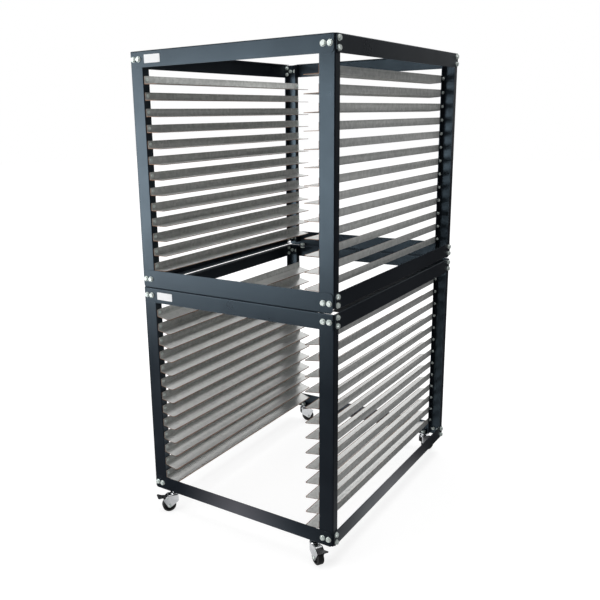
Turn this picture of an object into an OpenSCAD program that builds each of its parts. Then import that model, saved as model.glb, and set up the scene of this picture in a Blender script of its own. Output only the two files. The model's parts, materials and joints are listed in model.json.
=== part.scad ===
// Screen printing rack cart: two bolted sheet-steel rack modules, one on top
// of the other, on four swivel casters. Each module has four channel posts,
// eight angle rails and two ladders of folded shelf rails that the screens
// slide on. The origin is on the floor under the middle of the cart, the
// front, where the screens go in, faces -Y, and +Z is up.

/* [Overall size] */
// Width over the side rails
frame_w = 744; // [560:1:1200]
// Depth over the front and rear rails
frame_d = 972; // [600:1:1400]
// Height of one rack module
module_h = 762; // [420:1:1000]
// How far the upper module's posts and side rails stand above the seam
lift = 11; // [0:0.5:16]

/* [Frame steel] */
// Thickness of the frame sheet
frame_t = 2; // [1.5:0.1:3]
// Inside radius of the frame bends
frame_bend_r = 1.2; // [0.8:0.1:2]
// Width of a post's web, seen from the front
post_w = 50.8; // [46:0.1:70]
// Depth of a post's two flanges
post_flange = 28; // [26:0.5:40]
// How far a post stops short of the module's bottom
post_end_gap = 4; // [3.5:0.1:8]
// How far a post stops short of the module's top
post_top_gap = 1; // [0.5:0.1:8]
// Height of a frame rail's upright leg
rail_h = 50.8; // [46:0.1:64]
// Depth of a frame rail's lying flange
rail_flange = 28; // [26:0.5:40]
// Corner radius of a frame rail's upright leg
rail_corner_r = 11; // [3:0.5:12]
// Corner radius of a top rail's leg at its upper corners
rail_top_r = 3; // [1:0.5:11]
// How far a frame rail stops short of the corner post's edge
rail_end_gap = 4; // [2:0.1:8]
// How far a rail's flange stops short of the corner posts
flange_gap = 6; // [1:0.5:9]

/* [Shelf rails] */
// Distance from one shelf rail to the next
shelf_pitch = 50.8; // [40:0.1:80]
// Height of a shelf rail's upright leg
shelf_leg_h = 25.4; // [20:0.1:32]
// Width of the ledge that a screen rests on
shelf_ledge_w = 45; // [25:0.5:70]
// Thickness of the shelf sheet
shelf_t = 1.5; // [1:0.1:2.5]
// Inside radius of the shelf bend
shelf_bend_r = 0.8; // [0.5:0.1:1.5]
// Corner radius of the ledge's free corners
shelf_corner_r = 7; // [2:0.5:15]
// Corner radius of the upright leg's free corners
shelf_leg_r = 3; // [1:0.5:6]
// How far a shelf rail stops short of the front and rear faces
shelf_end_gap = 5; // [4:0.5:12]
// Height of the first shelf bolt below the module's top
shelf_drop = 87.5; // [72:0.5:110]
// Least height of the last shelf bolt above the module's bottom
shelf_floor = 64; // [62:0.5:100]

/* [Frame fasteners] */
// Diameter of a frame bolt's shank
frame_bolt_d = 8; // [6:0.5:8]
// Diameter of a frame bolt's flanged head
frame_head_d = 17.9; // [15:0.1:19]
// Width across flats of a frame bolt's head and nut
frame_hex = 13; // [10:0.5:13]
// Distance between the two bolts at the end of a front rail
front_bolt_gap = 21; // [20:0.5:23]
// Distance between the two bolts at the end of a side rail
side_bolt_gap = 25.4; // [22:0.1:26]
// Distance of a side rail's bolts from the front or rear face
side_bolt_inset = 19.3; // [19:0.1:20]

/* [Shelf fasteners] */
// Diameter of a shelf bolt's shank
shelf_bolt_d = 6; // [4:0.5:6]
// Width across flats of a shelf bolt's head and nut
shelf_hex = 10; // [8:0.5:10]
// Height of a shelf bolt's head
shelf_head_h = 3.5; // [2.5:0.1:4]
// Distance of a shelf bolt from the post's web
shelf_bolt_inset = 14; // [13:0.5:17]

/* [Casters] */
// Diameter of a wheel
wheel_d = 50; // [40:1:54]
// Width of a wheel's tread
wheel_w = 22; // [16:0.5:26]
// Distance from the frame's underside down to the wheel's axle
axle_drop = 53; // [53:0.5:70]
// Distance that the wheel trails behind the swivel axis
trail = 22; // [20:0.5:30]
// Diameter of the threaded stem
stem_d = 10; // [8:0.5:12]
// Width across flats of the stem's shoulder and nut
stem_hex = 17; // [16:0.5:19]
// Distance of a caster's stem from the middle of the cart, across
caster_x = 295; // [200:1:300]
// Distance of a caster's stem from the front or rear face
caster_inset = 17; // [16:0.5:18]
// Thickness of the fork's sheet
fork_t = 2; // [1.5:0.1:3]
// Diameter of the wheel's axle
axle_d = 6; // [5:0.5:8]
// Diameter of the brake lever's cross pin
lever_pin_d = 4; // [3:0.5:5]
// Width of the brake lever at its tip
lever_tip_w = 34; // [26:0.5:40]
// Reach of the brake lever from its cross pin
lever_reach = 34; // [26:0.5:45]
// Way that the front left caster trails, in degrees from +X
trail_front_left = -128; // [-180:1:180]
// Way that the front right caster trails, in degrees from +X
trail_front_right = -32; // [-180:1:180]
// Way that the rear left caster trails, in degrees from +X
trail_rear_left = 50; // [-180:1:180]
// Way that the rear right caster trails, in degrees from +X
trail_rear_right = 55; // [-180:1:180]

/* [Hidden] */
$fn = 48;
// Gap all round between a hole and the fixed shank in it
hole_gap = 0.25;
// Running gap all round a turning pin or stem
run_gap = 0.05;
// Gap between two faces that turn past each other
side_gap = 0.3;
// Extra length of a cutting shape past the face it cuts
cut = 1;
// Overlap of two shapes that are joined into one piece
weld = 1;
// Angles that neighbouring fasteners happen to be turned by
turns = [17, 23, 31];

caster_h = axle_drop + wheel_d / 2;
post_x = frame_w / 2 - frame_t;
post_y = frame_d / 2 - frame_t;
post_inner_x = post_x - post_w;
web_mid_x = post_x - post_w / 2;
side_bolt_y = frame_d / 2 - side_bolt_inset;
front_rail_len = 2 * (post_x - rail_end_gap);
side_rail_len = 2 * (post_y - rail_end_gap);
shelf_len = frame_d - 2 * shelf_end_gap;
shelf_bolt_y = post_y - shelf_bolt_inset;
shelf_count = floor((module_h - shelf_drop - shelf_floor) / shelf_pitch) + 1;
shelf_bolt_z = [for (i = [0:shelf_count - 1]) module_h - shelf_drop - i * shelf_pitch];
caster_y = frame_d / 2 - caster_inset;
stem_hole_d = stem_d + 2 * hole_gap;

frame_nut_h = 6.5;
frame_bolt_end = 1.6;
frame_grip = 2 * frame_t;
head_flange_h = 1.4;
head_flange_rim_w = 0.7;
frame_head_h = 6.6;
// A hexagon's corners are turned off by a cone, from just outside its corners
// to just inside its flats
hex_chamfer = 0.8;
hex_cone_out = 0.2;
hex_cone_in = 0.3;
shelf_nut_h = 4.5;
shelf_bolt_end = 1.4;
stem_nut_h = 8;
stack_head_h = 6.4;
stem_tip = 1.5;

shoulder_h = 6;
race_d = 30;
race_h = 3.6;
race_lip_d = 25;
race_lip_h = 1.1;
race_rim_h = 0.9;
race_neck_wall = 1;
race_neck_d = stem_hex + 2 * race_neck_wall;
race_z = -shoulder_h - race_h;
crown_boss_d = 23;
crown_boss_foot_d = 26;
crown_boss_h = 2;
crown_top = race_z - side_gap - crown_boss_h;
crown_under = crown_top - fork_t;
king_pin_d = 8;
rivet_d = 13;
rivet_foot_d = 10;
rivet_h = 2.4;
fork_bend_r = 2;
wheel_gap = 1;
fork_inner = wheel_w + 2 * wheel_gap;
fork_outer = fork_inner + 2 * fork_t;
crown_back = 17;
crown_back_r = 11;
// The kite-shaped cheek: its rear corner under the crown, its lobe round the
// axle, its front corner beyond and above the axle, and its corner radii
cheek_r = 3;
cheek_top_r = 2;
cheek_lobe_r = 8;
cheek_back_drop = 20;
cheek_front_out = 19;
cheek_front_up = 24;
cheek_top_out = 1;
fork_reach = trail + cheek_front_out + cheek_r + cut;

axle_z = -axle_drop;
hub_d = 15;
hub_w = fork_inner - 2 * side_gap;
tread_r = 3.5;
rim_t = 7;
web_t = 8;
axle_hex = 10;
axle_head_h = 3.2;
axle_nut_h = 4.6;
axle_end = 1;

// Place of the lever's cross pin beyond the axle and above the tread
lever_out = 8;
lever_over = 4.6;
lever_x = trail + lever_out;
lever_z = axle_z + wheel_d / 2 + lever_over;
lever_t = 2.4;
lever_wall = 1.3;
lever_barrel_r = lever_pin_d / 2 + lever_wall;
lever_inner_w = fork_inner - 2 * side_gap;
// Underside of the lever's plate over the pin's centre: at the pin, where it
// starts to widen and at the tip
lever_wide_from = 16.5;
lever_start = 0.2;
lever_bend = 2.7;
lever_rise = 6;
lever_corner_r = 5;
lever_flare_end = lever_reach - lever_corner_r;
nose_r = 2;
nose_out = 3.9;
nose_in = 3;
nose_w = wheel_w - 2 * nose_in;
nose_angle = -60;
pin_head_d = 7;
pin_head_top_d = 5;
pin_head_h = 1.2;

LEVELS = ["lower", "upper"];
ENDS = ["front", "rear"];
SIDES = ["left", "right"];
CORNERS = [
    ["front_left", -1, -1, trail_front_left],
    ["front_right", 1, -1, trail_front_right],
    ["rear_left", -1, 1, trail_rear_left],
    ["rear_right", 1, 1, trail_rear_right],
];
// Name of a frame rail. The four uppermost rails of the cart are its crown.
function rail_name(level, is_top, place) =
    level == 1 && is_top ? str("crown_rail_", place)
    : str(LEVELS[level], is_top ? "_top_rail_" : "_bottom_rail_", place);
NODES = concat(
    [for (l = LEVELS, e = ENDS, s = SIDES) str(l, "_post_", e, "_", s)],
    [for (l = [0, 1], is_top = [false, true], p = concat(ENDS, SIDES)) rail_name(l, is_top, p)],
    [for (l = LEVELS, s = SIDES) str(l, "_shelf_rails_", s)],
    [for (l = LEVELS) str(l, "_frame_bolts")],
    [for (l = LEVELS) str(l, "_frame_nuts")],
    [for (l = LEVELS) str(l, "_shelf_bolts")],
    [for (l = LEVELS) str(l, "_shelf_nuts")],
    ["stacking_bolts", "stacking_nuts", "caster_stem_nuts"],
    [for (c = CORNERS) str("caster_stem_", c[0])],
    [for (c = CORNERS) str("caster_fork_", c[0])],
    [for (c = CORNERS) str("caster_axle_", c[0])],
    [for (c = CORNERS) str("caster_wheel_", c[0])],
    [for (c = CORNERS) if (c[2] < 0) str("brake_lever_", c[0])],
    [for (c = CORNERS) if (c[2] < 0) str("brake_pin_", c[0])]
);
node = "all";

// A flat rectangle from the origin with its first corner rounded.
module one_corner_round(w, h, r) {
    union() {
        translate([r, 0]) square([w - r, h]);
        translate([0, r]) square([w, h - r]);
        translate([r, r]) circle(r);
    }
}

// A flat rectangle with both corners of its lower edge rounded.
module two_corners_round(w, h, r) {
    union() {
        translate([r, 0]) square([w - 2 * r, h]);
        translate([0, r]) square([w, h - r]);
        for (x = [r, w - r]) {
            translate([x, r]) circle(r);
        }
    }
}

// A flat rectangle on the first axis, centred across, with one radius for its
// lower corners and one for its upper corners.
module leg_outline(w, h, low_r, high_r) {
    translate([-w / 2, 0]) union() {
        two_corners_round(w, h - high_r, low_r);
        translate([0, h]) mirror([0, 1]) two_corners_round(w, h - low_r, high_r);
    }
}

// Section of a folded angle: corner at the origin, one leg along each axis.
module angle_section(flange, leg, t, bend_r) {
    difference() {
        one_corner_round(flange, leg, bend_r + t);
        translate([t, t]) one_corner_round(flange, leg, bend_r);
    }
}

// Section of a folded channel: web on the first axis, flanges rising from it.
module channel_section(web, flange, t, bend_r) {
    difference() {
        two_corners_round(web, flange, bend_r + t);
        translate([t, t]) two_corners_round(web - 2 * t, flange, bend_r);
    }
}

// Round holes through a sheet that lies across the Y axis.
module holes_along_y(points, d, depth) {
    for (p = points) {
        translate([p[0], -cut, p[1]]) rotate([-90, 0, 0]) cylinder(d = d, h = depth + 2 * cut);
    }
}

// Round holes through a sheet that lies across the X axis.
module holes_along_x(points, d, depth) {
    for (p = points) {
        translate([-cut, p[0], p[1]]) rotate([0, 90, 0]) cylinder(d = d, h = depth + 2 * cut);
    }
}

// Angle rail along X: its leg stands at y = 0, its flange lies at z = 0 and
// points to +Y, ending before the posts. The leg has the bolt holes, the flange
// the caster holes, and fold_r rounds the leg's corners at the fold.
module angle_rail(len, leg_h, fold_r, flange_cut, leg_holes, flange_holes) {
    difference() {
        intersection() {
            rotate([90, 0, 90]) linear_extrude(len, center = true)
                angle_section(rail_flange, leg_h, frame_t, frame_bend_r);
            translate([0, rail_flange + cut, 0]) rotate([90, 0, 0])
                linear_extrude(rail_flange + 2 * cut)
                    leg_outline(len, leg_h, fold_r, rail_corner_r);
        }
        for (s = [-1, 1]) {
            translate([s * len / 2, frame_t, 0]) mirror([s < 0 ? 0 : 1, 0, 0])
                translate([-cut, 0, -cut]) cube([flange_cut + cut, rail_flange + cut, leg_h / 2]);
        }
        holes_along_y(leg_holes, frame_bolt_d + 2 * hole_gap, frame_t);
        for (p = flange_holes) {
            translate([p[0], p[1], -cut]) cylinder(d = stem_hole_d, h = frame_t + 2 * cut);
        }
    }
}

// Height of a module's underside above the floor.
function base_z(level) = caster_h + level * (module_h + lift);

// How far a front or rear rail reaches below its module: at the bottom of the
// upper module it comes down to the seam.
function rail_reach(level, is_top) = level == 1 && !is_top ? lift : 0;

// Bolts of a front or rear rail: places across, and height in the module.
cross_bolts_x = [for (s = [-1, 1], k = [-1, 1]) s * web_mid_x + k * front_bolt_gap / 2];
function cross_bolt_z(level, is_top) =
    is_top ? module_h - rail_h / 2 : (rail_h - rail_reach(level, is_top)) / 2;

// Bolts of a side rail, as distance along and height.
side_rail_bolts = [
    for (s = [-1, 1], k = [-1, 1]) [s * side_bolt_y, rail_h / 2 + k * side_bolt_gap / 2]
];

// Turns a rail the right way up for the top of a module, or leaves it.
module at_module_height(level, is_top) {
    translate([0, 0, base_z(level)]) {
        if (is_top) {
            translate([0, 0, module_h]) mirror([0, 0, 1]) children();
        } else {
            children();
        }
    }
}

// Rail across the front (end = -1) or the rear (end = 1) of a module.
module cross_rail(level, end, is_top) {
    reach = rail_reach(level, is_top);
    leg_h = rail_h + reach;
    at_module_height(level, is_top) mirror([0, end > 0 ? 1 : 0, 0])
        translate([0, -frame_d / 2, -reach])
            angle_rail(front_rail_len, leg_h, is_top ? rail_top_r : rail_corner_r,
                       post_w - rail_end_gap + flange_gap,
                       [for (x = cross_bolts_x) [x, leg_h / 2]],
                       [for (s = [-1, 1]) [s * caster_x, caster_inset]]);
}

// Rail along the left (side = -1) or the right (side = 1) of a module.
module side_rail(level, side, is_top) {
    at_module_height(level, is_top) mirror([side > 0 ? 1 : 0, 0, 0])
        translate([-frame_w / 2, 0, 0]) rotate([0, 0, -90])
            angle_rail(side_rail_len, rail_h, is_top ? rail_top_r : rail_corner_r,
                       post_flange - rail_end_gap + flange_gap, side_rail_bolts, []);
}

// Corner post: a channel with its web to the front or rear.
module post(level, end, side) {
    web_points = [
        for (k = [-1, 1], is_top = [false, true])
            [post_w / 2 + k * front_bolt_gap / 2, cross_bolt_z(level, is_top)]
    ];
    side_points = [
        for (k = [-1, 1], z = [rail_h / 2, module_h - rail_h / 2])
            [side_bolt_inset - frame_t, z + k * side_bolt_gap / 2]
    ];
    shelf_points = [for (z = shelf_bolt_z) [shelf_bolt_inset, z]];
    mirror([side > 0 ? 1 : 0, 0, 0]) mirror([0, end > 0 ? 1 : 0, 0])
        translate([-post_x, -post_y, base_z(level)])
            difference() {
                translate([0, 0, post_end_gap])
                    linear_extrude(module_h - post_end_gap - post_top_gap)
                        channel_section(post_w, post_flange, frame_t, frame_bend_r);
                holes_along_y(web_points, frame_bolt_d + 2 * hole_gap, frame_t);
                holes_along_x(side_points, frame_bolt_d + 2 * hole_gap, frame_t);
                translate([post_w - frame_t, 0, 0])
                    holes_along_x(shelf_points, shelf_bolt_d + 2 * hole_gap, frame_t);
            }
}

// One shelf rail on the left, its leg's outer face at x = 0 and its bolts at
// z = 0, pointing to +X.
module shelf_rail() {
    difference() {
        intersection() {
            translate([0, 0, -shelf_leg_h / 2]) rotate([90, 0, 0])
                linear_extrude(shelf_len, center = true)
                    angle_section(shelf_ledge_w, shelf_leg_h, shelf_t, shelf_bend_r);
            translate([0, 0, -shelf_leg_h]) linear_extrude(2 * shelf_leg_h)
                translate([shelf_ledge_w, 0]) rotate(90)
                    translate([-shelf_len / 2, 0])
                        two_corners_round(shelf_len, shelf_ledge_w, shelf_corner_r);
            translate([-cut, 0, shelf_leg_h / 2]) rotate([0, 90, 0])
                linear_extrude(shelf_ledge_w + 2 * cut)
                    translate([0, -shelf_len / 2]) mirror([1, -1])
                        two_corners_round(shelf_len, shelf_leg_h + cut, shelf_leg_r);
        }
        holes_along_x([for (s = [-1, 1]) [s * shelf_bolt_y, 0]], shelf_bolt_d + 2 * hole_gap, shelf_t);
    }
}

// The ladder of shelf rails on one side of a module.
module shelf_rails(level, side) {
    mirror([side > 0 ? 1 : 0, 0, 0]) {
        for (z = shelf_bolt_z) {
            translate([-post_inner_x, 0, base_z(level) + z]) shelf_rail();
        }
    }
}

// Hexagon prism from z = 0 up, with its upper corners turned off.
module hex_head(flats, h) {
    across = flats / cos(30);
    intersection() {
        cylinder(d = across, h = h, $fn = 6);
        union() {
            translate([0, 0, -cut])
                cylinder(d = across + 2 * hex_cone_out, h = h + cut - hex_chamfer);
            translate([0, 0, h - hex_chamfer])
                cylinder(d1 = across + 2 * hex_cone_out, d2 = flats - 2 * hex_cone_in, h = hex_chamfer);
        }
    }
}

// Hexagon nut from z = 0 up with a bore.
module hex_nut(flats, h, bore_d) {
    difference() {
        hex_head(flats, h);
        translate([0, 0, -cut]) cylinder(d = bore_d, h = h + 2 * cut);
    }
}

// Flanged hexagon bolt: head above z = 0, shank below.
module frame_bolt() {
    union() {
        cylinder(d = frame_head_d, h = head_flange_h);
        translate([0, 0, head_flange_h])
            cylinder(d1 = frame_head_d - 2 * head_flange_rim_w, d2 = frame_hex, h = head_flange_h);
        hex_head(frame_hex, frame_head_h);
        translate([0, 0, -frame_grip - frame_nut_h - frame_bolt_end])
            cylinder(d = frame_bolt_d, h = frame_grip + frame_nut_h + frame_bolt_end);
    }
}

// Puts a fastener at each frame joint of one module, pointing outwards, with
// z = 0 on the rail's outer face and each one turned by a different amount.
module at_frame_joints(level) {
    for (top = [0, 1], end = [-1, 1], k = [0:3]) {
        z = cross_bolt_z(level, top == 1);
        translate([cross_bolts_x[k], end * frame_d / 2, base_z(level) + z])
            rotate([end < 0 ? 90 : -90, 0, 0]) rotate(turns * [k, top, level]) children();
    }
    for (top = [0, 1], side = [-1, 1], k = [0:3]) {
        p = side_rail_bolts[k];
        z = top == 1 ? module_h - p[1] : p[1];
        translate([side * frame_w / 2, p[0], base_z(level) + z])
            rotate([0, side * 90, 0]) rotate(turns * [top, level, k]) children();
    }
}

module frame_bolts(level) {
    at_frame_joints(level) frame_bolt();
}

module frame_nuts(level) {
    at_frame_joints(level) translate([0, 0, -frame_grip]) mirror([0, 0, 1])
        hex_nut(frame_hex, frame_nut_h, frame_bolt_d);
}

// Puts a fastener at each shelf joint of one module, head towards the
// screens, with z = 0 on the shelf leg's inner face.
module at_shelf_joints(level) {
    for (side = [-1, 1], end = [-1, 1], i = [0:shelf_count - 1]) {
        x = side * (post_inner_x - shelf_t);
        translate([x, end * shelf_bolt_y, base_z(level) + shelf_bolt_z[i]])
            rotate([0, side * -90, 0]) rotate(turns * [i, end, side]) children();
    }
}

module shelf_bolts(level) {
    shank = shelf_t + frame_t + shelf_nut_h + shelf_bolt_end;
    at_shelf_joints(level) union() {
        hex_head(shelf_hex, shelf_head_h);
        translate([0, 0, -shank]) cylinder(d = shelf_bolt_d, h = shank);
    }
}

module shelf_nuts(level) {
    at_shelf_joints(level) translate([0, 0, -shelf_t - frame_t]) mirror([0, 0, 1])
        hex_nut(shelf_hex, shelf_nut_h, shelf_bolt_d);
}

// Puts a fastener at the four flange holes at a height.
module at_flange_holes(z) {
    for (c = CORNERS) {
        translate([c[1] * caster_x, c[2] * caster_y, z]) rotate(turns * [c[1], c[2], 0]) children();
    }
}

module stacking_bolts() {
    shank = 2 * frame_t + stem_nut_h + stem_tip;
    at_flange_holes(caster_h + module_h - frame_t) union() {
        mirror([0, 0, 1]) hex_head(stem_hex, stack_head_h);
        cylinder(d = stem_d, h = shank);
    }
}

module stacking_nuts() {
    at_flange_holes(caster_h + module_h + frame_t) hex_nut(stem_hex, stem_nut_h, stem_d);
}

module caster_stem_nuts() {
    at_flange_holes(caster_h + frame_t) hex_nut(stem_hex, stem_nut_h, stem_d);
}

// Puts a caster part at a corner, stem axis on Z, frame underside at z = 0
// and the wheel trailing to +X.
module at_caster(c) {
    translate([c[1] * caster_x, c[2] * caster_y, caster_h]) rotate(c[3]) children();
}

// Threaded stem with its hexagon shoulder, upper race cap, king pin and the
// riveted head that holds the fork.
module caster_stem(c) {
    at_caster(c) union() {
        cylinder(d = stem_d, h = frame_t + stem_nut_h + stem_tip);
        translate([0, 0, -shoulder_h]) cylinder(d = stem_hex / cos(30), h = shoulder_h, $fn = 6);
        translate([0, 0, race_z]) rotate_extrude() polygon([
            [0, 0], [race_lip_d / 2, 0], [race_d / 2, race_lip_h],
            [race_d / 2, race_lip_h + race_rim_h], [race_neck_d / 2, race_h], [0, race_h]
        ]);
        translate([0, 0, crown_under - side_gap])
            cylinder(d = king_pin_d, h = race_z - crown_under + side_gap);
        translate([0, 0, crown_under - side_gap - rivet_h])
            cylinder(d1 = rivet_foot_d, d2 = rivet_d, h = rivet_h);
    }
}

// Corner circles of a fork's side plate as [x, z, r], counter-clockwise.
fork_outline = [
    [-crown_back + cheek_r, crown_under - cheek_back_drop, cheek_r],
    [trail, axle_z, cheek_lobe_r],
    [trail + cheek_front_out, axle_z + cheek_front_up, cheek_r],
    [trail + cheek_top_out, crown_top - cheek_top_r, cheek_top_r],
    [-crown_back + cheek_top_r, crown_top - cheek_top_r, cheek_top_r],
];

// Angle of the outward normal of the line that touches two circles.
function touch_angle(a, b) =
    atan2(b[1] - a[1], b[0] - a[0]) - acos((a[2] - b[2]) / norm([b[0] - a[0], b[1] - a[1]]));

// Point of circle c in the direction ang.
function rim_point(c, ang) = [c[0] + c[2] * cos(ang), c[1] + c[2] * sin(ang)];

// Flat shape bounded by circles and the straight lines that touch them.
module round_cornered(circles) {
    n = len(circles);
    polygon([
        for (i = [0:n - 1]) let (a = circles[i], b = circles[(i + 1) % n], t = touch_angle(a, b))
            each [rim_point(a, t), rim_point(b, t)]
    ]);
    for (c = circles) {
        translate([c[0], c[1]]) circle(c[2]);
    }
}

// Fork: one folded plate, crown on top and a kite-shaped cheek on each side.
module caster_fork(c) {
    has_brake = c[2] < 0;
    at_caster(c) difference() {
        union() {
            intersection() {
                translate([-crown_back, 0, crown_top]) rotate([90, 0, 90])
                    linear_extrude(fork_reach + crown_back)
                        rotate(180) translate([-fork_outer / 2, 0])
                            channel_section(fork_outer, axle_drop, fork_t, fork_bend_r);
                translate([0, fork_outer / 2 + cut, 0]) rotate([90, 0, 0])
                    linear_extrude(fork_outer + 2 * cut) round_cornered(fork_outline);
                translate([-crown_back, 0, axle_z - wheel_d / 2])
                    linear_extrude(axle_drop + wheel_d / 2)
                        translate([0, fork_outer / 2]) rotate(-90)
                            two_corners_round(fork_outer, fork_reach + crown_back, crown_back_r);
            }
            translate([0, 0, crown_top - fork_t / 2])
                cylinder(d1 = crown_boss_foot_d, d2 = crown_boss_d, h = crown_boss_h + fork_t / 2);
        }
        translate([0, 0, crown_under - cut])
            cylinder(d = king_pin_d + 2 * run_gap, h = fork_t + crown_boss_h + 2 * cut);
        translate([trail, 0, axle_z]) rotate([90, 0, 0])
            cylinder(d = axle_d + 2 * run_gap, h = fork_outer + 2 * cut, center = true);
        if (has_brake) {
            translate([lever_x, 0, lever_z]) rotate([90, 0, 0])
                cylinder(d = lever_pin_d + 2 * run_gap, h = fork_outer + 2 * cut, center = true);
        }
    }
}

// Axle bolt through the fork with its lock nut.
module caster_axle(c) {
    shank = fork_outer + axle_nut_h + axle_end;
    at_caster(c) translate([trail, 0, axle_z]) rotate([90, 0, 0]) {
        translate([0, 0, fork_outer / 2 - shank]) cylinder(d = axle_d, h = shank);
        translate([0, 0, fork_outer / 2]) hex_head(axle_hex, axle_head_h);
        translate([0, 0, -fork_outer / 2]) mirror([0, 0, 1]) hex_head(axle_hex, axle_nut_h);
    }
}

// One-piece wheel: rounded tread, thin web and a hub as wide as the fork.
module caster_wheel(c) {
    r = wheel_d / 2;
    bore_r = axle_d / 2 + run_gap;
    at_caster(c) translate([trail, 0, axle_z]) rotate([90, 0, 0]) difference() {
        rotate_extrude() union() {
            translate([bore_r, -hub_w / 2]) square([hub_d / 2 - bore_r, hub_w]);
            translate([bore_r, -web_t / 2]) square([r - rim_t - bore_r + weld, web_t]);
            translate([r - rim_t, -wheel_w / 2]) square([rim_t - tread_r, wheel_w]);
            translate([r - rim_t, -wheel_w / 2 + tread_r]) square([rim_t, wheel_w - 2 * tread_r]);
            for (s = [-1, 1]) {
                translate([r - tread_r, s * (wheel_w / 2 - tread_r)]) circle(tread_r);
            }
        }
    }
}

// Brake lever: a barrel on the cross pin, a nose over the tread and a foot
// plate that widens outside the fork.
module brake_lever(c) {
    at_caster(c) translate([lever_x, 0, lever_z]) difference() {
        union() {
            rotate([90, 0, 0]) cylinder(r = lever_barrel_r, h = lever_inner_w, center = true);
            rotate([90, 0, 0]) translate([nose_out * cos(nose_angle), nose_out * sin(nose_angle), 0])
                cylinder(r = nose_r, h = nose_w, center = true);
            intersection() {
                rotate([90, 0, 0]) linear_extrude(lever_tip_w, center = true) polygon([
                    [0, lever_start], [lever_wide_from, lever_bend], [lever_reach, lever_rise],
                    [lever_reach, lever_rise + lever_t], [lever_wide_from, lever_bend + lever_t],
                    [0, lever_start + lever_t]
                ]);
                translate([0, 0, -lever_reach]) linear_extrude(2 * lever_reach) union() {
                    translate([0, -lever_inner_w / 2]) square([lever_wide_from + weld, lever_inner_w]);
                    polygon([
                        [lever_wide_from, -lever_inner_w / 2], [lever_flare_end, -lever_tip_w / 2],
                        [lever_flare_end, lever_tip_w / 2], [lever_wide_from, lever_inner_w / 2]
                    ]);
                    translate([lever_flare_end - weld, -lever_tip_w / 2 + lever_corner_r])
                        square([lever_corner_r + weld, lever_tip_w - 2 * lever_corner_r]);
                    for (s = [-1, 1]) {
                        translate([lever_flare_end, s * (lever_tip_w / 2 - lever_corner_r)])
                            circle(lever_corner_r);
                    }
                }
            }
        }
        rotate([90, 0, 0]) cylinder(d = lever_pin_d + 2 * run_gap, h = fork_outer, center = true);
    }
}

// Cross pin that the brake lever turns on, headed at both ends.
module brake_pin(c) {
    at_caster(c) translate([lever_x, 0, lever_z]) rotate([90, 0, 0]) {
        cylinder(d = lever_pin_d, h = fork_outer, center = true);
        for (s = [0, 1]) {
            mirror([0, 0, s]) translate([0, 0, fork_outer / 2])
                cylinder(d1 = pin_head_d, d2 = pin_head_top_d, h = pin_head_h);
        }
    }
}

function wanted(name) = node == "all" || node == name;

for (l = [0, 1], e = [0, 1], s = [0, 1]) {
    if (wanted(str(LEVELS[l], "_post_", ENDS[e], "_", SIDES[s])))
        color("#23272e") post(l, 2 * e - 1, 2 * s - 1);
}
for (l = [0, 1], i = [0, 1], is_top = [false, true]) {
    if (wanted(rail_name(l, is_top, ENDS[i]))) color("#343a42") cross_rail(l, 2 * i - 1, is_top);
    if (wanted(rail_name(l, is_top, SIDES[i]))) color("#343a42") side_rail(l, 2 * i - 1, is_top);
}
for (l = [0, 1], s = [0, 1]) {
    if (wanted(str(LEVELS[l], "_shelf_rails_", SIDES[s]))) color("#a8a69f") shelf_rails(l, 2 * s - 1);
}
for (l = [0, 1]) {
    if (wanted(str(LEVELS[l], "_frame_bolts"))) color("#d8dadd") frame_bolts(l);
    if (wanted(str(LEVELS[l], "_frame_nuts"))) color("#c9cbce") frame_nuts(l);
    if (wanted(str(LEVELS[l], "_shelf_bolts"))) color("#d8dadd") shelf_bolts(l);
    if (wanted(str(LEVELS[l], "_shelf_nuts"))) color("#c9cbce") shelf_nuts(l);
}
if (wanted("stacking_bolts")) color("#d8dadd") stacking_bolts();
if (wanted("stacking_nuts")) color("#c9cbce") stacking_nuts();
if (wanted("caster_stem_nuts")) color("#c9cbce") caster_stem_nuts();
for (c = CORNERS) {
    if (wanted(str("caster_stem_", c[0]))) color("#d5d8db") caster_stem(c);
    if (wanted(str("caster_fork_", c[0]))) color("#dfe2e4") caster_fork(c);
    if (wanted(str("caster_axle_", c[0]))) color("#c9cbce") caster_axle(c);
    if (wanted(str("caster_wheel_", c[0]))) color("#202225") caster_wheel(c);
    if (c[2] < 0) {
        if (wanted(str("brake_lever_", c[0]))) color("#1a1c1f") brake_lever(c);
        if (wanted(str("brake_pin_", c[0]))) color("#c9cbce") brake_pin(c);
    }
}
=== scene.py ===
# %% [markdown]
# The cart is two open racks of black powder-coated steel, bolted one on the
# other, with thin galvanized rails on both sides and four small casters.
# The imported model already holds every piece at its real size. This lesson
# gives each piece its finish, folds the shelf rails again with the lean
# that the real ones have, adds two blank label plates, and sets up the
# camera, the room and the light.

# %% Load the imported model
import json
import math

import bmesh
import bpy
import numpy as np
from mathutils import Matrix, Vector


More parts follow.
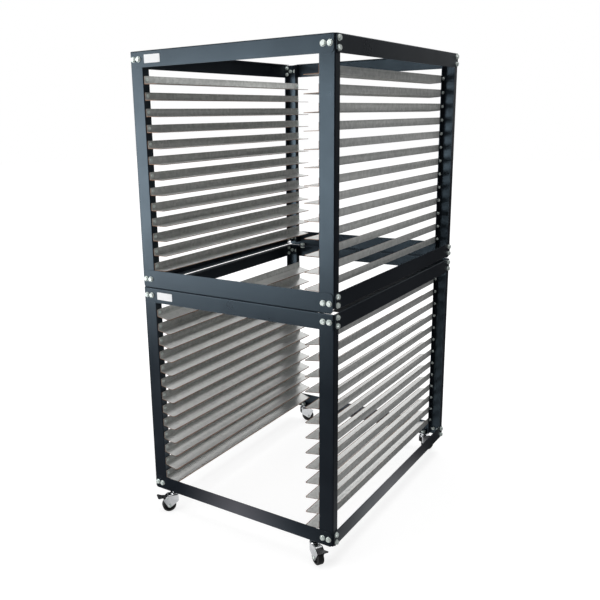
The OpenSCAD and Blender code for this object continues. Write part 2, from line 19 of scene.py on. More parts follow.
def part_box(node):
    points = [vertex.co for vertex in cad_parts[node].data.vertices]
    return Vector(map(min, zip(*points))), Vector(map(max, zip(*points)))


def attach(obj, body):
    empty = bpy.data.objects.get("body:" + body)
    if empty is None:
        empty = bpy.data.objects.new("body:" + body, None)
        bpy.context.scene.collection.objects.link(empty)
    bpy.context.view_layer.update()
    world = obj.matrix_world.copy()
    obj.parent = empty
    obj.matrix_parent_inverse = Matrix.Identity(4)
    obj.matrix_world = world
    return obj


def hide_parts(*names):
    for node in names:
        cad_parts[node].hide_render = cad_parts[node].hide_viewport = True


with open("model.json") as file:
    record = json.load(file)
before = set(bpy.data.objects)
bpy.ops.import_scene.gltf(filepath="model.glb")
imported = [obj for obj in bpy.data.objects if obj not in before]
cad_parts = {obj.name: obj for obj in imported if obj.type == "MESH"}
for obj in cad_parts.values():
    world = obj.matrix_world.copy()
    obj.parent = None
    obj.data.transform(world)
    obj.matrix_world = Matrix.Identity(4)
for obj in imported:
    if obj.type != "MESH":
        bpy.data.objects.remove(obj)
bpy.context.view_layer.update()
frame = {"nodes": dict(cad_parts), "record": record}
nodes = frame["nodes"]

# %% [markdown]
# The photograph was taken from the front right, a little below the top of
# the cart. A camera's place is fixed by three angles and a point. Here they
# come from lining up the posts and the rows of bolts with the picture, and
# the lens shift stands for the way the picture was cropped.

# %% Camera
VIEW_AZIMUTH = math.radians(34.65)
VIEW_ELEVATION = math.radians(13.87)
VIEW_ROLL = math.radians(-1.36)
CAMERA_PLACE = Vector((1.3119, -2.2621, 1.3965))
FOCAL_LENGTH = 42.99
SENSOR_WIDTH = 36.0
SHIFT_X = 0.0799
SHIFT_Y = -0.0075


def camera_axes(azimuth, elevation, roll):
    """Right, up and back vectors of a camera that looks at the object from an azimuth and an elevation."""
    back = Vector((math.sin(azimuth) * math.cos(elevation), -math.cos(azimuth) * math.cos(elevation),
                   math.sin(elevation)))
    level = Vector((math.cos(azimuth), math.sin(azimuth), 0))
    steep = back.cross(level)
    right = math.cos(roll) * level + math.sin(roll) * steep
    up = -math.sin(roll) * level + math.cos(roll) * steep
    return right, up, back


camera_data = bpy.data.cameras.new("camera")
camera_data.lens = FOCAL_LENGTH
camera_data.sensor_width = SENSOR_WIDTH
camera_data.shift_x = SHIFT_X
camera_data.shift_y = SHIFT_Y
camera = bpy.data.objects.new("camera", camera_data)
bpy.context.scene.collection.objects.link(camera)
turn = Matrix(camera_axes(VIEW_AZIMUTH, VIEW_ELEVATION, VIEW_ROLL)).transposed()
camera.matrix_world = Matrix.Translation(CAMERA_PLACE) @ turn.to_4x4()
bpy.context.scene.camera = camera
print("camera at", [round(v, 3) for v in camera.location])

# %% [markdown]
# Every finish below is a small graph of shader nodes. A few helpers keep
# the graphs readable. One adds a node and fills its inputs by name, and the
# rest build on it: sums, mixed colours, smooth steps, bumps, a new material
# with its main shader, and two facts about a point on a piece, which are
# its place and how much its surface faces up.

# %% Helpers for shader graphs
SHADER_STEP = 220


def add(tree, kind, inputs=None, **settings):
    """Adds a node, sets its plain properties, and fills or links its inputs by name or number."""
    made = tree.nodes.new(kind)
    made.location.x = SHADER_STEP * len(tree.nodes)
    for name, value in settings.items():
        setattr(made, name, value)
    for name, value in (inputs or {}).items():
        if isinstance(value, bpy.types.NodeSocket):
            tree.links.new(value, made.inputs[name])
        else:
            made.inputs[name].default_value = value
    return made


def maths(tree, operation, a, b=0.0, clamp=False):
    """The result of one sum on two values or sockets."""
    return add(tree, "ShaderNodeMath", {0: a, 1: b}, operation=operation, use_clamp=clamp).outputs[0]


def mix_colours(tree, share, a, b):
    """A colour between a and b."""
    return add(tree, "ShaderNodeMix", {0: share, 6: a, 7: b}, data_type="RGBA").outputs[2]


def spread(tree, value, start, end, low, high):
    """A value taken smoothly from start..end to low..high and held beyond."""
    return add(tree, "ShaderNodeMapRange", {0: value, 1: start, 2: end, 3: low, 4: high},
               interpolation_type="SMOOTHSTEP").outputs[0]


def new_material(name, **plain):
    """A material with its main shader, whose plain sockets are set from the keywords."""
    made = bpy.data.materials.new(name)
    made.use_nodes = True
    shader = made.node_tree.nodes["Principled BSDF"]
    for socket, value in plain.items():
        shader.inputs[socket.replace("_", " ")].default_value = value
    return made, made.node_tree, shader


def raise_bumps(tree, shader, height, strength, depth):
    """Lets a height tilt the shader's normal a little, as bumps of some depth in metres would."""
    bump = add(tree, "ShaderNodeBump", {"Strength": strength, "Distance": depth, "Height": height})
    tree.links.new(bump.outputs[0], shader.inputs["Normal"])


def object_place(tree):
    """The place of a point on the piece, in metres."""
    return add(tree, "ShaderNodeTexCoord").outputs["Object"]


def facing_up(tree):
    """How much the surface faces up, from -1 on an underside to 1 on a level top."""
    facing = add(tree, "ShaderNodeNewGeometry").outputs["Normal"]
    return add(tree, "ShaderNodeSeparateXYZ", {0: facing}).outputs["Z"]


HELPERS = (add, maths, mix_colours, spread, new_material, raise_bumps, object_place, facing_up)
print("helpers:", [helper.__name__ for helper in HELPERS])

# %% [markdown]
# Three effects turn up in more than one finish, so each is a group: a slow
# cloudiness for smudges and tone, a fine grain that gives a bump its height,
# and a mask along edges, for wear and for a painted edge highlight. The edge
# mask compares the true normal with one that is rounded over a small radius,
# and they differ only near an edge.

# %% Shared groups
CLOUD_DETAIL = 5.0
GRAIN_DETAIL = 3.0
BEVEL_SAMPLES = 4
EDGE_MASK_GAIN = 6.0
EDGE_BREAK_SCALE = 90.0
EDGE_BREAK_DETAIL = 4.0
EDGE_BREAK_FROM = 0.42
EDGE_BREAK_GAIN = 5.0


def new_group(name, ins, outs):
    """An empty node group with named float inputs, and outputs that each have their own socket type."""
    group = bpy.data.node_groups.new(name, "ShaderNodeTree")
    for socket, default in ins.items():
        made = group.interface.new_socket(socket, in_out="INPUT", socket_type="NodeSocketFloat")
        made.default_value = default
    for socket, kind in outs.items():
        group.interface.new_socket(socket, in_out="OUTPUT", socket_type=kind)
    return group, group.nodes.new("NodeGroupInput"), group.nodes.new("NodeGroupOutput")


def make_clouds():
    """Slow noise over the piece, spread to run from 0 to 1 with a set contrast."""
    group, given, result = new_group("clouds", {"Scale": 6.0, "Contrast": 2.0, "Stretch": 1.0},
                                     {"Mask": "NodeSocketFloat"})
    squeeze = add(group, "ShaderNodeCombineXYZ", {0: 1.0, 1: given.outputs["Stretch"], 2: 1.0}).outputs[0]
    place = add(group, "ShaderNodeVectorMath", {0: object_place(group), 1: squeeze},
                operation="MULTIPLY").outputs[0]
    noise = add(group, "ShaderNodeTexNoise", {"Vector": place, "Scale": given.outputs["Scale"],
                                              "Detail": CLOUD_DETAIL})
    centred = maths(group, "SUBTRACT", noise.outputs[0], 0.5)
    contrasted = maths(group, "MULTIPLY", centred, given.outputs["Contrast"])
    group.links.new(maths(group, "ADD", contrasted, 0.5, clamp=True), result.inputs["Mask"])
    return group


def make_grain():
    """Fine noise whose value is the height of a bump."""
    group, given, result = new_group("grain", {"Scale": 700.0}, {"Height": "NodeSocketFloat"})
    fine = add(group, "ShaderNodeTexNoise", {"Vector": object_place(group), "Scale": given.outputs["Scale"],
                                             "Detail": GRAIN_DETAIL})
    group.links.new(fine.outputs[0], result.inputs["Height"])
    return group


def make_worn_and_highlit_edges():
    """1 along edges and 0 elsewhere, for wearing and a painted edge highlight, broken up by noise so that the
    line isn't clean.
    """
    group, given, result = new_group("worn_and_highlit_edges", {"Radius": 0.001, "Amount": 1.0},
                                     {"Mask": "NodeSocketFloat"})
    rounded = add(group, "ShaderNodeBevel", {"Radius": given.outputs["Radius"]},
                  samples=BEVEL_SAMPLES).outputs[0]
    flat = add(group, "ShaderNodeNewGeometry").outputs["Normal"]
    alike = add(group, "ShaderNodeVectorMath", {0: rounded, 1: flat},
                operation="DOT_PRODUCT").outputs["Value"]
    near = maths(group, "MULTIPLY", maths(group, "SUBTRACT", 1.0, alike), EDGE_MASK_GAIN, clamp=True)
    broken = add(group, "ShaderNodeTexNoise", {"Vector": object_place(group), "Scale": EDGE_BREAK_SCALE,
                                               "Detail": EDGE_BREAK_DETAIL})
    above = maths(group, "SUBTRACT", broken.outputs[0], EDGE_BREAK_FROM)
    kept = maths(group, "MULTIPLY", above, EDGE_BREAK_GAIN, clamp=True)
    broken_edge = maths(group, "MULTIPLY", near, kept)
    group.links.new(maths(group, "MULTIPLY", broken_edge, given.outputs["Amount"]), result.inputs["Mask"])
    return group


CLOUDS = make_clouds()
GRAIN = make_grain()
# The edge mask carries wear and a painted highlight along edges.
WORN_AND_HIGHLIT_EDGES = make_worn_and_highlit_edges()


def place_group(tree, group, **values):
    """Places a group in a material with its own values and gives its first output."""
    return add(tree, "ShaderNodeGroup", values, node_tree=group).outputs[0]


print("groups:", [g.name for g in bpy.data.node_groups])

# %% [markdown]
# Powder coat is sprayed as dust and baked, so it has a faint orange peel and
# a soft sheen that changes a little where hands and screens have rubbed it.
# It is nearly black, with a cool sheen, and paler along the folded edges,
# partly from wear where the coat is thinner and partly as a painted
# highlight of the lit bends. The sheen's colour is the shader's own specular
# tint. Two more layers come on top: the lowest rails are painted lighter
# grey between their corners, as a painted reflection of the pale floor, and
# faces that look up are dull with dust, so they mirror less of the lamps.

# %% Black powder coat
COAT_DEEP = (0.004, 0.005, 0.008, 1)
COAT_PALE = (0.010, 0.012, 0.016, 1)
# Paler edge colour: wearing of the thin coat, and a painted highlight of the lit bends.
COAT_EDGE_WORN_AND_HIGHLIT = (0.08, 0.09, 0.10, 1)
# Lighter grey for the lowest rails: a painted reflection of the pale floor.
COAT_PAINTED_REFLECTION = (0.105, 0.098, 0.108, 1)
COAT_SHEEN = (0.60, 0.82, 1.0, 1)
COAT_GLOSS = 0.66
PAINTED_REFLECTION_BELOW = 0.13
LOW_CORNER = (0.37, 0.486, 0.10)
PAINTED_REFLECTION_FROM, PAINTED_REFLECTION_FULL = 0.10, 0.45
COAT_CLOUDS = {"Scale": 3.0, "Contrast": 2.4}
COAT_WORN_HIGHLIT_EDGES = {"Radius": 0.0012, "Amount": 0.55}
RUB_CLOUDS = {"Scale": 9.0, "Contrast": 2.0}
COAT_ROUGH = 0.27
RUB_ROUGHER = 0.12
DUST_ROUGHER = 0.40
DUST_FROM, DUST_FULL = 0.6, 0.95
PEEL_SCALE, PEEL_STRENGTH, PEEL_DEPTH = 520.0, 0.25, 0.0004


def painted_floor_reflection(tree):
    """How much painted reflection of the pale floor the coat gets: on the lowest rails only, from none at the
    corners to most between them.
    """
    place = object_place(tree)
    height = add(tree, "ShaderNodeSeparateXYZ", {0: place}).outputs["Z"]
    low = maths(tree, "LESS_THAN", height, PAINTED_REFLECTION_BELOW)
    folded = add(tree, "ShaderNodeVectorMath", {0: place}, operation="ABSOLUTE").outputs[0]
    corner = add(tree, "ShaderNodeVectorMath", {0: folded, 1: LOW_CORNER},
                 operation="DISTANCE").outputs["Value"]
    between = spread(tree, corner, PAINTED_REFLECTION_FROM, PAINTED_REFLECTION_FULL, 0.0, 1.0)
    return maths(tree, "MULTIPLY", low, between)


def make_powder_coat():
    """Dark sprayed coat with orange peel, cloudy sheen, edges paler from wearing and a painted highlight, a
    painted floor reflection low down, and dust on top.
    """
    made, tree, shader = new_material("powder_coat", Specular_IOR_Level=COAT_GLOSS, Specular_Tint=COAT_SHEEN)
    tone = place_group(tree, CLOUDS, **COAT_CLOUDS)
    worn_highlit_edge = place_group(tree, WORN_AND_HIGHLIT_EDGES, **COAT_WORN_HIGHLIT_EDGES)
    colour = mix_colours(tree, tone, COAT_DEEP, COAT_PALE)
    # The lowest rails get a painted reflection of the pale floor, lighter grey between their corners.
    colour = mix_colours(tree, painted_floor_reflection(tree), colour, COAT_PAINTED_REFLECTION)
    # Edges turn paler: wearing, and a painted highlight of the lit bends.
    tree.links.new(mix_colours(tree, worn_highlit_edge, colour, COAT_EDGE_WORN_AND_HIGHLIT), shader.inputs["Base Color"])
    layer_share = maths(tree, "MULTIPLY", place_group(tree, CLOUDS, **RUB_CLOUDS), RUB_ROUGHER)
    dust = spread(tree, facing_up(tree), DUST_FROM, DUST_FULL, 0.0, 1.0)
    dusty = maths(tree, "MULTIPLY", dust, DUST_ROUGHER)
    rough = maths(tree, "ADD", maths(tree, "ADD", layer_share, COAT_ROUGH), dusty)
    tree.links.new(rough, shader.inputs["Roughness"])
    peel = place_group(tree, GRAIN, Scale=PEEL_SCALE)
    raise_bumps(tree, shader, peel, PEEL_STRENGTH, PEEL_DEPTH)
    return made


powder_coat = make_powder_coat()
print("powder coat:", len(powder_coat.node_tree.nodes), "nodes")

# %% [markdown]
# The shelf rails are cut from galvanized strip. Rolling leaves long streaks
# along the strip, and the zinc freezes in faint crystals. The streaks come
# from noise that is squeezed along the rail, and the crystals from a cell
# pattern. The screens slide on the ledges, so whatever faces up is rubbed
# smooth and metallic, and its colour is also painted paler as a painted
# light from above, while the upright legs keep the dull grey of weathered
# zinc. A later cell adds the brown along the edges.

# %% Galvanized strip
ZINC_DULL = (0.36, 0.375, 0.365, 1)
ZINC_PALE = (0.78, 0.785, 0.77, 1)
ZINC_GLOSS = 0.3
DULL_METAL, RUBBED_METAL = 0.22, 0.80
DULL_ROUGH, RUBBED_ROUGH = 0.60, 0.40
PALE_ROUGH_CHANGE = -0.12
# Painted light from above: how much paler the faces that look up are made.
PAINTED_TOP_PALER = 0.5
FACING_UP_FROM, FACING_UP_FULL = 0.5, 0.9
STREAK_CLOUDS = {"Scale": 60.0, "Contrast": 2.2, "Stretch": 0.02}
STREAK_SHARE, CRYSTAL_SHARE = 0.7, 0.3
CRYSTAL_SCALE = 85.0
DRAWN_CLOUDS = {"Scale": 900.0, "Contrast": 1.5, "Stretch": 0.02}
DRAWN_STRENGTH, DRAWN_DEPTH = 0.12, 0.0003


def make_galvanized():
    """Streaky zinc with crystals, smooth and metallic where the screens slide on the ledges, with a painted
    light from above that makes upward faces paler, and dull elsewhere.
    """
    made, tree, shader = new_material("galvanized_strip", Specular_IOR_Level=ZINC_GLOSS)
    upward = facing_up(tree)
    # Faces that look up get a painted top light, which makes their colour paler.
    layer_share = spread(tree, upward, FACING_UP_FROM, FACING_UP_FULL, 0.0, 1.0)
    metal = spread(tree, upward, FACING_UP_FROM, FACING_UP_FULL, DULL_METAL, RUBBED_METAL)
    tree.links.new(metal, shader.inputs["Metallic"])
    streaks = place_group(tree, CLOUDS, **STREAK_CLOUDS)
    cells = add(tree, "ShaderNodeTexVoronoi", {"Vector": object_place(tree), "Scale": CRYSTAL_SCALE})
    crystal = add(tree, "ShaderNodeSeparateColor", {0: cells.outputs["Color"]}).outputs[0]
    share = maths(tree, "ADD", maths(tree, "MULTIPLY", streaks, STREAK_SHARE),
                  maths(tree, "MULTIPLY", crystal, CRYSTAL_SHARE))
    paler = maths(tree, "ADD", share, maths(tree, "MULTIPLY", layer_share, PAINTED_TOP_PALER), clamp=True)
    tree.links.new(mix_colours(tree, paler, ZINC_DULL, ZINC_PALE), shader.inputs["Base Color"])
    base = spread(tree, upward, FACING_UP_FROM, FACING_UP_FULL, DULL_ROUGH, RUBBED_ROUGH)
    rough = maths(tree, "ADD", maths(tree, "MULTIPLY", share, PALE_ROUGH_CHANGE), base)
    tree.links.new(rough, shader.inputs["Roughness"])
    drawn = place_group(tree, CLOUDS, **DRAWN_CLOUDS)
    raise_bumps(tree, shader, drawn, DRAWN_STRENGTH, DRAWN_DEPTH)
    return made


galvanized = make_galvanized()
print("galvanized strip:", len(galvanized.node_tree.nodes), "nodes")

# %% [markdown]
# The fasteners are pale zinc, partly the plating's own colour and partly a
# painted glint, the casters chrome, the wheels a hard black tyre and the
# brake levers black enamel. The shelf rails are brown along their edges.
# The five share the same build: a tone that drifts, a roughness that drifts
# with it, and a little bump.

# %% Fastener, caster, tyre, lever and brown-edge finishes
DRIFT_CONTRAST = 2.2
SMALL_WORN_HIGHLIT_EDGES = {"Radius": 0.0008, "Amount": 0.7}
SMALL_DEPTH = 0.0003


def make_drifting(name, dark, pale, rough, drift, grain, bumps, worn_highlit_edges_to=None, **plain):
    """A finish whose colour and roughness drift slowly over a fine grain, with edges that turn to a colour,
    from wearing and a painted edge highlight.
    """
    made, tree, shader = new_material(name, **plain)
    tone = place_group(tree, CLOUDS, Scale=drift, Contrast=DRIFT_CONTRAST)
    colour = mix_colours(tree, tone, dark, pale)
    if worn_highlit_edges_to is not None:
        # Edges turn to a colour of their own: wearing, and a painted edge highlight.
        colour = mix_colours(tree, place_group(tree, WORN_AND_HIGHLIT_EDGES, **SMALL_WORN_HIGHLIT_EDGES), colour, worn_highlit_edges_to)
    tree.links.new(colour, shader.inputs["Base Color"])
    least, most = rough
    tree.links.new(maths(tree, "ADD", maths(tree, "MULTIPLY", tone, most - least), least),
                   shader.inputs["Roughness"])
    height = place_group(tree, GRAIN, Scale=grain)
    raise_bumps(tree, shader, height, bumps, SMALL_DEPTH)
    return made


# Pale zinc for the fasteners, partly the plating's own colour and partly a painted glint, so that the heads
# read bright without a lamp reflection.
pale_zinc_and_glint = make_drifting("pale_zinc_and_glint", dark=(0.62, 0.73, 0.71, 1), pale=(0.88, 0.92, 0.87, 1),
                           rough=(0.26, 0.40), drift=120.0, grain=900.0, bumps=0.10, Metallic=0.25)
chrome = make_drifting("chrome", dark=(0.62, 0.64, 0.66, 1), pale=(0.80, 0.81, 0.82, 1),
                       rough=(0.06, 0.16), drift=60.0, grain=500.0, bumps=0.04, Metallic=1.0)
tyre = make_drifting("tyre", dark=(0.010, 0.010, 0.011, 1), pale=(0.030, 0.030, 0.031, 1),
                     rough=(0.42, 0.62), drift=90.0, grain=700.0, bumps=0.30,
                     worn_highlit_edges_to=(0.07, 0.07, 0.068, 1), Specular_IOR_Level=0.4)
enamel = make_drifting("lever_enamel", dark=(0.008, 0.009, 0.011, 1), pale=(0.020, 0.021, 0.024, 1),
                       rough=(0.26, 0.40), drift=70.0, grain=800.0, bumps=0.10,
                       worn_highlit_edges_to=(0.22, 0.22, 0.22, 1), Specular_IOR_Level=0.5)
# Brown for the rails' edges, and for the last strip of each ledge's faces.
brown_edge = make_drifting("brown_edge", dark=(0.12, 0.055, 0.028, 1), pale=(0.34, 0.20, 0.13, 1),
                         rough=(0.40, 0.55), drift=25.0, grain=900.0, bumps=0.10,
                         Metallic=0.4, Specular_IOR_Level=0.4)
print("finishes:", [m.name for m in (pale_zinc_and_glint, chrome, tyre, enamel, brown_edge)])

# %% [markdown]
# Each node takes the finish of its record slot, so a new node in the same
# slot is dressed without another line here.

# %% Dress the nodes
FINISHES = {
    "black_frame": powder_coat,
    "galvanized_shelf": galvanized,
    "zinc_fastener": pale_zinc_and_glint,
    "chrome_caster": chrome,
    "black_wheel": tyre,
    "black_lever": enamel,
}
for part in frame["record"]["subparts"]:
    mesh = nodes[part["node"]].data
    mesh.materials.clear()
    mesh.materials.append(FINISHES[part["material_slot"]])

# %% [markdown]
# The imported shelf rails are true right angles. On the photographed cart the
# ledges reach a little further and lean down towards the screens, least on
# the upper seven pairs, and the edges show brown. A press
# folds such a rail from a flat strip, so each bank is made again the same
# way: one folded section is carried along the rail, and its ledge and leg
# draw in round the corners at both ends. The lean runs evenly from the
# front to the rear, with a degree or so of chance from rail to rail.

# %% Shelf rails
ROWS = 13
ROW_PITCH = 0.0508
LEG_HEIGHT = 0.0254
SHEET = 0.0015
BEND_RADIUS = 0.0016
LEDGE_CORNER = 0.008
LEG_CORNER = 0.003
STIFF_ROWS = 7
LEDGE_REACH = 0.053
LEANS = {"stiff": (1.5, 3.0), "upper": (-0.5, 7.0), "lower": (9.0, 12.5)}
LEAN_SPREAD = 0.7
BRIGHT_SHARE = 0.94


def corner_inset(from_end, radius):
    """How far a quarter-round corner draws an edge in, at a distance from the end."""
    left = np.clip(radius - from_end, 0, radius)
    return radius - np.sqrt(radius ** 2 - left ** 2)


def rail_stations(length, end_points=7, middle_points=9):
    """Places along a rail, closer together round the corners at both ends."""
    turn = np.linspace(0, np.pi / 2, end_points)
    near = LEDGE_CORNER * (1 - np.cos(turn))
    middle = np.linspace(LEDGE_CORNER, length - LEDGE_CORNER, middle_points)[1:-1]
    return np.concatenate([near, middle, length - near[::-1]])


def rail_section(leg, ledge, lean, bend_points=5, flat_points=3):
    """The fold's middle line and its normals, for arrays of leg height, ledge length and lean.

    The line runs down the leg from its top, round an arc that turns by a right angle less the lean,
    and out along the ledge. Its normal is the direction turned by a right angle, towards the screens.
    """
    turn = np.pi / 2 - lean[..., None] * np.ones(bend_points)
    angle = turn * np.linspace(0, 1, bend_points)
    bend_x = BEND_RADIUS * (1 - np.cos(angle))
    bend_z = -BEND_RADIUS * np.sin(angle)
    down = np.linspace(1, 0, flat_points + 1)[:-1]
    leg_z = (leg[..., None] - BEND_RADIUS) * down
    out = np.append(np.linspace(0, 1, flat_points)[1:] * BRIGHT_SHARE, 1.0) * (ledge[..., None] - BEND_RADIUS)
    last = turn[..., -1:]
    ledge_x = bend_x[..., -1:] + out * np.sin(last)
    ledge_z = bend_z[..., -1:] - out * np.cos(last)
    x = np.concatenate([np.zeros_like(leg_z), bend_x, ledge_x], axis=-1)
    z = np.concatenate([leg_z, bend_z, ledge_z], axis=-1)
    heading = np.concatenate([np.zeros_like(leg_z), angle, last * np.ones_like(out)], axis=-1)
    return np.stack([x, z], axis=-1), np.stack([np.cos(heading), np.sin(heading)], axis=-1)


def bank_points(node, level, chance):
    """Points[row, station, place round the section] of one bank, from the node's own box."""
    low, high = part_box(node)
    side = 1 if low.x > 0 else -1
    along = rail_stations(high.y - low.y)
    from_end = np.minimum(along, along[-1] - along)
    row = np.arange(ROWS)
    kinds = ["stiff" if level == "upper" and i < STIFF_ROWS else level for i in range(ROWS)]
    front, rear = np.array([LEANS[kind] for kind in kinds]).T + chance.normal(0, LEAN_SPREAD, ROWS)
    lean = np.radians(front[:, None] + (rear - front)[:, None] * (along / along[-1])[None])
    ledge = (LEDGE_REACH - SHEET / 2 - corner_inset(from_end, LEDGE_CORNER))[None] / np.cos(lean)
    leg = (LEG_HEIGHT - SHEET / 2 - corner_inset(from_end, LEG_CORNER))[None] * np.ones((ROWS, 1))
    line, normal = rail_section(leg, ledge, lean)
    loop = np.concatenate([line + normal * SHEET / 2, (line - normal * SHEET / 2)[:, :, ::-1]], axis=2)
    outer = high.x if side > 0 else low.x
    fold_z = high.z - LEG_HEIGHT + SHEET / 2 - row * ROW_PITCH
    points = np.empty(loop.shape[:3] + (3,))
    points[..., 0] = outer - side * (SHEET / 2 + loop[..., 0])
    points[..., 1] = (low.y + along)[None, :, None]
    points[..., 2] = fold_z[:, None, None] + loop[..., 1]
    return points, side


def bank_faces(rows, stations, around, side):
    """Quads along the sides and across both ends, and whether each is coloured brown."""
    r, i, j = np.meshgrid(np.arange(rows), np.arange(stations - 1), np.arange(around), indexing="ij")
    k = (j + 1) % around
    start = (r * stations + i) * around
    sides = np.stack([start + j, start + around + j, start + around + k, start + k], axis=-1).reshape(-1, 4)
    half = around // 2
    # Brown are the ledge's free edge, the last strip on both of its faces, and the leg's top.
    edge = ((abs(j - half + 1) <= 1) | (j == around - 1)).reshape(-1)
    r, e, j = np.meshgrid(np.arange(rows), [0, stations - 1], np.arange(half - 1), indexing="ij")
    start = (r * stations + e) * around
    mate = around - 1 - j
    caps = np.stack([start + j, start + j + 1, start + mate - 1, start + mate], axis=-1)
    caps[:, 1] = caps[:, 1, :, ::-1]
    caps = caps.reshape(-1, 4)
    faces = np.concatenate([sides, caps])
    if side < 0:
        faces = faces[:, ::-1]
    return faces, np.concatenate([edge, np.ones(len(caps), bool)])


def make_bank(level, side_name, chance):
    """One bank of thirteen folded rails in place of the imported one."""
    node = f"{level}_shelf_rails_{side_name}"
    points, side = bank_points(node, level, chance)
    faces, brown_faces = bank_faces(*points.shape[:3], side)
    mesh = bpy.data.meshes.new(f"{level}_shelf_bank_{side_name}")
    mesh.from_pydata(points.reshape(-1, 3).tolist(), [], faces.tolist())
    mesh.materials.append(galvanized)
    mesh.materials.append(brown_edge)
    mesh.polygons.foreach_set("material_index", brown_faces.astype(np.int32))
    mesh.validate()
    bank = bpy.data.objects.new(mesh.name, mesh)
    bpy.context.scene.collection.objects.link(bank)
    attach(bank, "root")
    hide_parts(node)
    return bank


def signed_volume(mesh):
    """The volume that the faces enclose, positive where they point outwards."""
    mesh.calc_loop_triangles()
    places = np.empty(3 * len(mesh.vertices))
    mesh.vertices.foreach_get("co", places)
    triangles = np.empty(3 * len(mesh.loop_triangles), np.int32)
    mesh.loop_triangles.foreach_get("vertices", triangles)
    a, b, c = places.reshape(-1, 3)[triangles.reshape(-1, 3)].transpose(1, 0, 2)
    return float((a * np.cross(b, c)).sum() / 6)


chance = np.random.default_rng(4)
for level in ("lower", "upper"):
    for side_name in ("left", "right"):
        bank = make_bank(level, side_name, chance)
        volume = round(signed_volume(bank.data) * 1e6, 1)
        print(bank.name, len(bank.data.polygons), "faces,", volume, "cm3")

# %% [markdown]
# A thin plate with rounded corners could be a box with its edges bevelled.
# It is simpler to say it as a family of rings: each ring is the plate's
# rounded outline, and its height and inset follow a small bevelled section,
# from the middle of the back to the middle of the front. Joined up, the
# rings make one closed surface, with its normals outwards.

# %% Surfaces from rings of points
def ring_surface(name, rings, material):
    """A closed surface over rings[i, j], which close on themselves and shrink to a point at both ends."""
    count, around = rings.shape[:2]
    i, j = np.meshgrid(np.arange(count - 1), np.arange(around), indexing="ij")
    k = (j + 1) % around
    quads = np.stack([i * around + j, i * around + k, (i + 1) * around + k, (i + 1) * around + j], axis=-1)
    mesh = bpy.data.meshes.new(name)
    mesh.from_pydata(rings.reshape(-1, 3).tolist(), [], quads.reshape(-1, 4).tolist())
    mesh.validate()
    made = bpy.data.objects.new(name, mesh)
    bpy.context.scene.collection.objects.link(made)
    mesh.materials.append(material)
    merge_poles(mesh)
    return made


def merge_poles(mesh):
    """Welds the points that lie on each other, so that the first and last rings become single poles."""
    work = bmesh.new()
    work.from_mesh(mesh)
    bmesh.ops.remove_doubles(work, verts=work.verts, dist=1e-7)
    bmesh.ops.dissolve_degenerate(work, edges=work.edges, dist=1e-7)
    bmesh.ops.recalc_face_normals(work, faces=work.faces)
    work.to_mesh(mesh)
    work.free()


def rounded_outline(width, height, radius, corner_points=6):
    """Points round a rectangle whose corners are quarter circles, anticlockwise from the right side."""
    angle = np.linspace(0, np.pi / 2, corner_points)
    turn_by = np.arange(4)[:, None] * np.pi / 2
    a = (angle[None] + turn_by).ravel()
    corner = np.repeat([[1, 1], [-1, 1], [-1, -1], [1, -1]], corner_points, axis=0)
    middle = corner * (np.array([width, height]) / 2 - radius)
    return middle + radius * np.stack([np.cos(a), np.sin(a)], axis=1)


print("outline of a rounded rectangle:", len(rounded_outline(2, 1, 0.1)), "points")

# %% [markdown]
# A cart like this carries a small white plate near the left end of each
# module's top front rail. The plates stay blank here. Each takes its place
# from the box of the rail that it is stuck to.

# %% Blank label plates
PLATE_SIZE = (0.066, 0.026)
PLATE_THICKNESS = 0.0008
PLATE_BEVEL = 0.0002
PLATE_RADIUS = 0.0025
PLATE_FROM_END = 0.089
PLATE_RAILS = {"lower": "lower_top_rail_front", "upper": "crown_rail_front"}
label_white = make_drifting("label_white", dark=(0.78, 0.79, 0.81, 1), pale=(0.86, 0.87, 0.88, 1),
                            rough=(0.30, 0.42), drift=40.0, grain=600.0, bumps=0.05, Specular_IOR_Level=0.5)


def make_label_plate(level, rail):
    """Rings of the plate's outline, drawn in to its middle at both faces, standing on the rail's face."""
    low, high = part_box(rail)
    centre = np.array([low.x + PLATE_FROM_END, low.y, (low.z + high.z) / 2])
    outline = rounded_outline(*PLATE_SIZE, PLATE_RADIUS)
    share = np.array([0, 1, 1, 1 - 2 * PLATE_BEVEL / PLATE_SIZE[1], 0])
    out = np.array([0, 0, PLATE_THICKNESS - PLATE_BEVEL, PLATE_THICKNESS, PLATE_THICKNESS])
    rings = np.zeros((5, len(outline), 3))
    rings[:, :, 0] = share[:, None] * outline[None, :, 0]
    rings[:, :, 1] = -out[:, None]
    rings[:, :, 2] = share[:, None] * outline[None, :, 1]
    plate = ring_surface(f"{level}_label_plate", rings + centre, label_white)
    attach(plate, "root")
    return plate


for level, rail in PLATE_RAILS.items():
    plate = make_label_plate(level, rail)
    print(plate.name, len(plate.data.polygons), "faces")

# %% [markdown]
# Floor and backdrop are plain white, as on a product page. To the camera
# the world is white all round. Metal and gloss see a room instead, with a
# white wall behind the cart on the left and dimmer walls elsewhere. That is
# what makes the shelf ledges bright, their upright legs grey and the black
# coat deep. As a lamp the world is soft and even, at a plain level.

# %% World
WORLD_LIGHT = 0.46
WALL_DIRECTION = Vector((-0.61, 0.71, 0.36)).normalized()
WALL_FROM, WALL_TO = 0.40, 0.85
DIM_WALLS = 0.075
WHITE = (1, 1, 1, 1)


def ray_kinds(tree):
    """Whether a ray comes from the camera, and whether it comes off metal or through glass."""
    path = add(tree, "ShaderNodeLightPath").outputs
    bounced = maths(tree, "ADD", path["Is Glossy Ray"], path["Is Transmission Ray"], clamp=True)
    return path["Is Camera Ray"], bounced


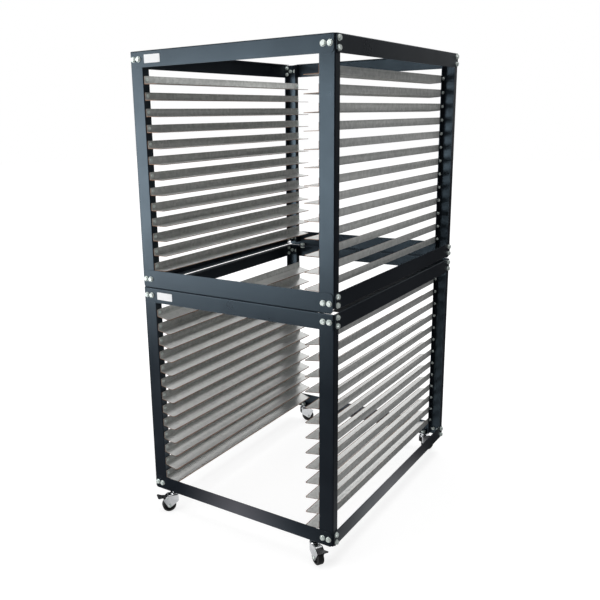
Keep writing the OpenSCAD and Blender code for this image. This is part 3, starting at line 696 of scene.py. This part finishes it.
def make_world():
    """White to the camera, a room with one white wall in reflections, and an even soft lamp otherwise."""
    world = bpy.data.worlds.new("studio")
    bpy.context.scene.world = world
    world.use_nodes = True
    tree = world.node_tree
    camera_ray, bounced = ray_kinds(tree)
    direction = add(tree, "ShaderNodeTexCoord").outputs["Generated"]
    facing = add(tree, "ShaderNodeVectorMath", {0: direction, 1: WALL_DIRECTION},
                 operation="DOT_PRODUCT").outputs["Value"]
    room = spread(tree, facing, WALL_FROM, WALL_TO, DIM_WALLS, 1.0)
    seen = maths(tree, "MULTIPLY", bounced, maths(tree, "SUBTRACT", room, WORLD_LIGHT))
    direct = maths(tree, "MULTIPLY", camera_ray, 1.0 - WORLD_LIGHT)
    strength = maths(tree, "ADD", maths(tree, "ADD", seen, direct), WORLD_LIGHT)
    tree.links.new(strength, tree.nodes["Background"].inputs["Strength"])
    tree.nodes["Background"].inputs["Color"].default_value = WHITE


make_world()
print("world:", bpy.context.scene.world.name)

# %% [markdown]
# The floor is a wide pale square. It keeps the cart's soft shadow near the
# wheels, and it glows a little for the camera, more so further out, until
# its rim can't be told from the white behind it. In gloss it is pale only
# close to the cart, in an oval as deep as the cart, so that the chrome
# shows a bright floor and the black posts mirror a dim one.

# %% Floor
FLOOR_SIZE = 40.0
FLOOR_COLOUR = (0.36, 0.36, 0.36, 1)
FLOOR_MIRRORED = (0.08, 0.08, 0.085, 1)
NEARBY, FAR_AWAY = 0.6, 2.0
LIFT_NEAR, LIFT_FAR = 0.76, 0.95
PALE_WITHIN, DIM_BEYOND = 0.40, 0.58
GLOSS_NEAR, GLOSS_FAR = 0.75, 0.0
OVAL = (1.0, 0.76, 1.0)


def make_floor():
    """A pale floor with the cart's shadow, lifted to white for rays that show it directly, dim in gloss."""
    half = FLOOR_SIZE / 2
    corners = [(-half, -half, 0), (half, -half, 0), (half, half, 0), (-half, half, 0)]
    mesh = bpy.data.meshes.new("floor")
    mesh.from_pydata(corners, [], [(0, 1, 2, 3)])
    floor = bpy.data.objects.new("floor", mesh)
    bpy.context.scene.collection.objects.link(floor)
    made, tree, shader = new_material("floor", Roughness=1.0, Specular_IOR_Level=0.0)
    shader.inputs["Emission Color"].default_value = WHITE
    camera_ray, bounced = ray_kinds(tree)
    tree.links.new(mix_colours(tree, bounced, FLOOR_COLOUR, FLOOR_MIRRORED), shader.inputs["Base Color"])
    place = object_place(tree)
    away = add(tree, "ShaderNodeVectorMath", {0: place}, operation="LENGTH").outputs["Value"]
    lift = maths(tree, "MULTIPLY", camera_ray, spread(tree, away, NEARBY, FAR_AWAY, LIFT_NEAR, LIFT_FAR))
    shorter = add(tree, "ShaderNodeVectorMath", {0: place, 1: OVAL}, operation="MULTIPLY").outputs[0]
    round_cart = add(tree, "ShaderNodeVectorMath", {0: shorter}, operation="LENGTH").outputs["Value"]
    shown = spread(tree, round_cart, PALE_WITHIN, DIM_BEYOND, GLOSS_NEAR, GLOSS_FAR)
    glow = maths(tree, "ADD", lift, maths(tree, "MULTIPLY", bounced, shown))
    tree.links.new(glow, shader.inputs["Emission Strength"])
    mesh.materials.append(made)
    return floor


floor = make_floor()
print(floor.name, FLOOR_SIZE, "m square")

# %% [markdown]
# One large soft lamp stands in front on the left, at the height of the upper
# rack. Its reflection gives the upper front faces their cool sheen, and the
# lower ones stay dark, because from the camera they mirror the floor. A
# wide lamp under the ceiling fills in from above. Both are weak enough that
# the galvanized legs don't clip to white.

# %% Lamps
LAMPS = {
    "front_lamp": {"place": (-1.95, -2.75, 1.08), "aim": (0, -0.4, 1.05),
                   "width": 2.7, "height": 1.7, "power": 70},
    "ceiling_lamp": {"place": (0.3, 0.2, 4.4), "aim": (0, 0, 0),
                     "width": 3.2, "height": 3.2, "power": 105},
}


def add_lamp(name, place, aim, width, height, power):
    """A soft rectangular lamp at a place, turned towards a point."""
    data = bpy.data.lights.new(name, "AREA")
    data.shape = "RECTANGLE"
    data.size = width
    data.size_y = height
    data.energy = power
    lamp = bpy.data.objects.new(name, data)
    bpy.context.scene.collection.objects.link(lamp)
    lamp.location = place
    lamp.rotation_euler = (Vector(aim) - Vector(place)).to_track_quat("-Z", "Y").to_euler()


for name, setting in LAMPS.items():
    add_lamp(name, **setting)
bpy.context.scene.view_settings.view_transform = "Standard"
